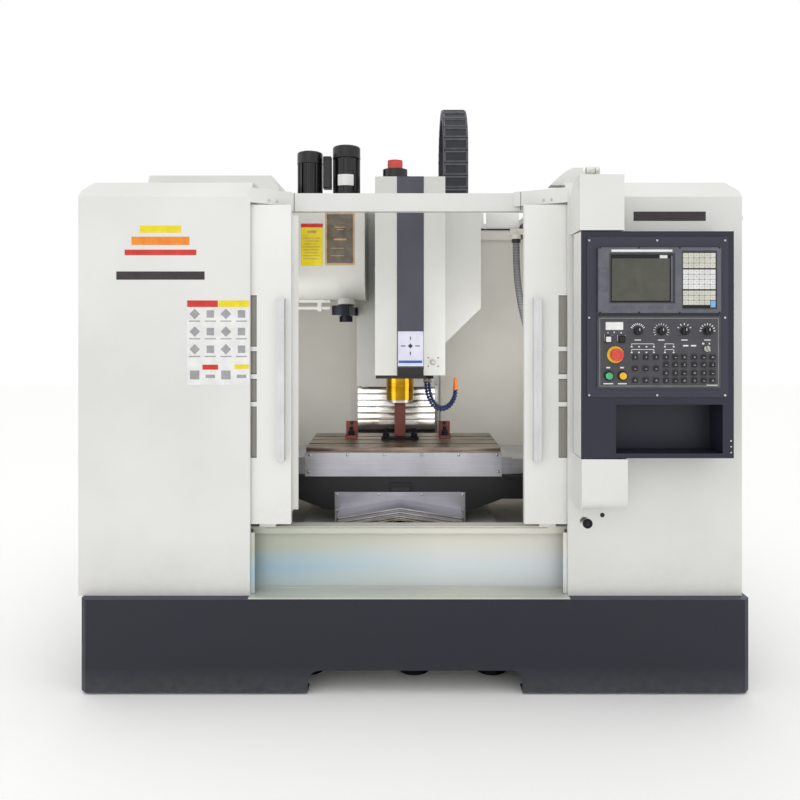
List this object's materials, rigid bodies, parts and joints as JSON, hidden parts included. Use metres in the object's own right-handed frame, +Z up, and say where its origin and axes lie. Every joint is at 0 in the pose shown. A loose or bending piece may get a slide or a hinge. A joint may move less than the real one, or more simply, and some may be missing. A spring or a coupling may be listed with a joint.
{
  "type": "vertical machining center",
  "caption": "Vertical machining centre with an enclosed work area, sliding doors, a swinging control box, a table on crossed slides and a lifting spindle head.",
  "frame": {"origin": "centre of the base's footprint on the floor, which is the underside of the middle levelling pad", "axes": "+Z up, +X to the operator's right, +Y from the operator's side to the rear"},
  "size_m": [2.42, 2.153, 2.3724],
  "materials": {
    "base_paint": "satin",
    "white_paint": "satin",
    "tub_paint": "satin",
    "cast_iron": "painted",
    "ground_steel": "ground",
    "stainless": "brushed",
    "apron_steel": "polished",
    "black_motor": "satin",
    "screw_steel": "polished",
    "brace_paint": "matt",
    "sleeve_gold": "polished",
    "hose_blue": "matt",
    "chain_plastic": "matt",
    "conduit_plastic": "matt",
    "glass": "clear",
    "handle_alloy": "anodised",
    "control_paint": "satin",
    "panel_dark": "matt",
    "stop_red": "gloss",
    "start_green": "gloss",
    "hold_yellow": "gloss",
    "knob_black": "matt"
  },
  "bodies": {
    "frame": {"base_skirt": "base_paint", "bed_casting": "cast_iron", "leveling_feet": "cast_iron", "guide_rails": "ground_steel", "column_casting": "cast_iron", "left_cabinet": "white_paint", "right_cabinet": "white_paint", "control_arms": "white_paint", "lintel": "white_paint", "apron": "apron_steel", "splash_tub": "tub_paint", "electrical_cabinet": "white_paint", "magazine_cover": "white_paint", "atc_cam_box": "black_motor", "gear_motors": "black_motor", "axis_servos": "black_motor", "way_cover_roots": "stainless", "flexible_conduit": "conduit_plastic"},
    "saddle": {"saddle_casting": "cast_iron", "x_guide_rails": "ground_steel", "x_servo": "black_motor", "saddle_way_covers": "stainless"},
    "table": {"table_casting": "ground_steel", "table_guards": "stainless", "shipping_braces": "brace_paint"},
    "x_cover_outer": {"x_way_cover_outer": "stainless"},
    "x_cover_inner": {"x_way_cover_inner": "stainless"},
    "y_cover_outer": {"y_way_cover_outer": "stainless"},
    "y_cover_inner": {"y_way_cover_inner": "stainless"},
    "z_cover_middle": {"z_way_cover_middle": "stainless"},
    "head": {"head_casting": "cast_iron", "head_covers": "white_paint", "spindle_motor": "black_motor", "drawbar_unit": "black_motor", "spindle_cartridge": "sleeve_gold"},
    "coolant_nozzle": {"coolant_nozzle_links": "hose_blue"},
    "spindle": {"spindle_shaft": "screw_steel"},
    "cable_carrier": {"cable_chain": "chain_plastic"},
    "left_door": {"left_door": "white_paint", "left_door_glass": "glass", "left_door_handle": "handle_alloy"},
    "right_door": {"right_door": "white_paint", "right_door_glass": "glass", "right_door_handle": "handle_alloy"},
    "tool_disc": {"tool_disc": "ground_steel"},
    "changer_shaft": {"atc_arm_shaft": "screw_steel"},
    "changer_arm": {"atc_arm": "black_motor"},
    "control": {"control_box": "control_paint", "control_panel": "panel_dark"},
    "estop": {"estop_button": "stop_red"},
    "start": {"start_button": "start_green"},
    "hold": {"hold_button": "hold_yellow"},
    "mode": {"mode_knob": "knob_black"},
    "feed_override": {"feed_override_knob": "knob_black"},
    "rapid_override": {"rapid_override_knob": "knob_black"},
    "spindle_override": {"spindle_override_knob": "knob_black"},
    "electrical_door": {"electrical_door": "white_paint"},
    "x_screw": {"x_ballscrew": "screw_steel"},
    "y_screw": {"y_ballscrew": "screw_steel"},
    "z_screw": {"z_ballscrew": "screw_steel"}
  },
  "joints": [
    {"name": "y_axis", "type": "slide", "parent": "frame", "child": "saddle", "axis": [0, 1, 0], "range_m": [-0.11, 0.29]},
    {"name": "x_axis", "type": "slide", "parent": "saddle", "child": "table", "axis": [1, 0, 0], "range_m": [-0.339, 0.311]},
    {"name": "x_cover_inner_slide", "type": "slide", "parent": "saddle", "child": "x_cover_inner", "axis": [1, 0, 0], "range_m": [-0.113, 0.10367]},
    {"name": "x_cover_outer_slide", "type": "slide", "parent": "saddle", "child": "x_cover_outer", "axis": [1, 0, 0], "range_m": [-0.226, 0.20733]},
    {"name": "y_cover_inner_slide", "type": "slide", "parent": "frame", "child": "y_cover_inner", "axis": [0, 1, 0], "range_m": [-0.03667, 0.09667]},
    {"name": "y_cover_outer_slide", "type": "slide", "parent": "frame", "child": "y_cover_outer", "axis": [0, 1, 0], "range_m": [-0.07333, 0.19333]},
    {"name": "z_axis", "type": "slide", "parent": "frame", "child": "head", "axis": [0, 0, 1], "range_m": [0, 0.45]},
    {"name": "z_cover_slide", "type": "slide", "parent": "frame", "child": "z_cover_middle", "axis": [0, 0, 1], "range_m": [0, 0.225]},
    {"name": "cable_carrier_roll", "type": "slide", "parent": "frame", "child": "cable_carrier", "axis": [0, 0, 1], "range_m": [0, 0.225]},
    {"name": "spindle_spin", "type": "hinge", "parent": "head", "child": "spindle", "pos_m": [-0.054, -0.31, 0.974], "axis": [0, 0, 1], "continuous": true},
    {"name": "coolant_nozzle_swivel", "type": "hinge", "parent": "head", "child": "coolant_nozzle", "pos_m": [0.067, -0.354, 1.078], "axis": [0, 0, 1], "range_deg": [-60, 60]},
    {"name": "left_door_slide", "type": "slide", "parent": "frame", "child": "left_door", "axis": [1, 0, 0], "range_m": [0, 0.425]},
    {"name": "right_door_slide", "type": "slide", "parent": "frame", "child": "right_door", "axis": [1, 0, 0], "range_m": [-0.425, 0]},
    {"name": "tool_disc_index", "type": "hinge", "parent": "frame", "child": "tool_disc", "pos_m": [-0.5, -0.15, 1.655], "axis": [1, 0, 0], "continuous": true},
    {"name": "changer_lift", "type": "slide", "parent": "frame", "child": "changer_shaft", "axis": [0, 0, 1], "range_m": [-0.11, 0]},
    {"name": "changer_swing", "type": "hinge", "parent": "changer_shaft", "child": "changer_arm", "pos_m": [-0.3, -0.25, 1.38], "axis": [0, 0, 1], "range_deg": [-20, 20]},
    {"name": "control_swivel", "type": "hinge", "parent": "frame", "child": "control", "pos_m": [0.596, -0.995, 1.254], "axis": [0, 0, 1], "range_deg": [-90, 0]},
    {"name": "estop_push", "type": "slide", "parent": "control", "child": "estop", "axis": [0, 1, 0], "range_m": [0, 0.006]},
    {"name": "start_push", "type": "slide", "parent": "control", "child": "start", "axis": [0, 1, 0], "range_m": [0, 0.003], "stiffness_N_per_m": 900},
    {"name": "hold_push", "type": "slide", "parent": "control", "child": "hold", "axis": [0, 1, 0], "range_m": [0, 0.003], "stiffness_N_per_m": 900},
    {"name": "mode_turn", "type": "hinge", "parent": "control", "child": "mode", "pos_m": [0.76, -1.12, 1.301], "axis": [0, 1, 0], "range_deg": [-135, 135]},
    {"name": "feed_override_turn", "type": "hinge", "parent": "control", "child": "feed_override", "pos_m": [0.8405, -1.12, 1.301], "axis": [0, 1, 0], "range_deg": [-135, 135]},
    {"name": "rapid_override_turn", "type": "hinge", "parent": "control", "child": "rapid_override", "pos_m": [0.9195, -1.12, 1.301], "axis": [0, 1, 0], "range_deg": [-135, 135]},
    {"name": "spindle_override_turn", "type": "hinge", "parent": "control", "child": "spindle_override", "pos_m": [0.9985, -1.12, 1.301], "axis": [0, 1, 0], "range_deg": [-135, 135]},
    {"name": "electrical_door_hinge", "type": "hinge", "parent": "frame", "child": "electrical_door", "pos_m": [-0.659, 0.994, 1.12], "axis": [0, 0, 1], "range_deg": [0, 110]},
    {"name": "x_screw_spin", "type": "hinge", "parent": "saddle", "child": "x_screw", "pos_m": [-0.054, -0.39, 0.69], "axis": [1, 0, 0], "range_deg": [-7629, 6999]},
    {"name": "y_screw_spin", "type": "hinge", "parent": "frame", "child": "y_screw", "pos_m": [-0.054, -0.3, 0.5], "axis": [0, 1, 0], "range_deg": [-2477, 6527]},
    {"name": "z_screw_spin", "type": "hinge", "parent": "frame", "child": "z_screw", "pos_m": [-0.054, 0.225, 1.2], "axis": [0, 0, 1], "range_deg": [-1, 10127]}
  ],
  "couplings": [
    {"joint": "x_cover_inner_slide", "follows": "x_axis", "ratio": 0.33333},
    {"joint": "x_cover_outer_slide", "follows": "x_axis", "ratio": 0.66667},
    {"joint": "y_cover_inner_slide", "follows": "y_axis", "ratio": 0.33333},
    {"joint": "y_cover_outer_slide", "follows": "y_axis", "ratio": 0.66667},
    {"joint": "z_cover_slide", "follows": "z_axis", "ratio": 0.5},
    {"joint": "cable_carrier_roll", "follows": "z_axis", "ratio": 0.5},
    {"joint": "x_screw_spin", "follows": "x_axis", "rad_per_m": 392.7},
    {"joint": "y_screw_spin", "follows": "y_axis", "rad_per_m": 392.7},
    {"joint": "z_screw_spin", "follows": "z_axis", "rad_per_m": 392.7}
  ]
}
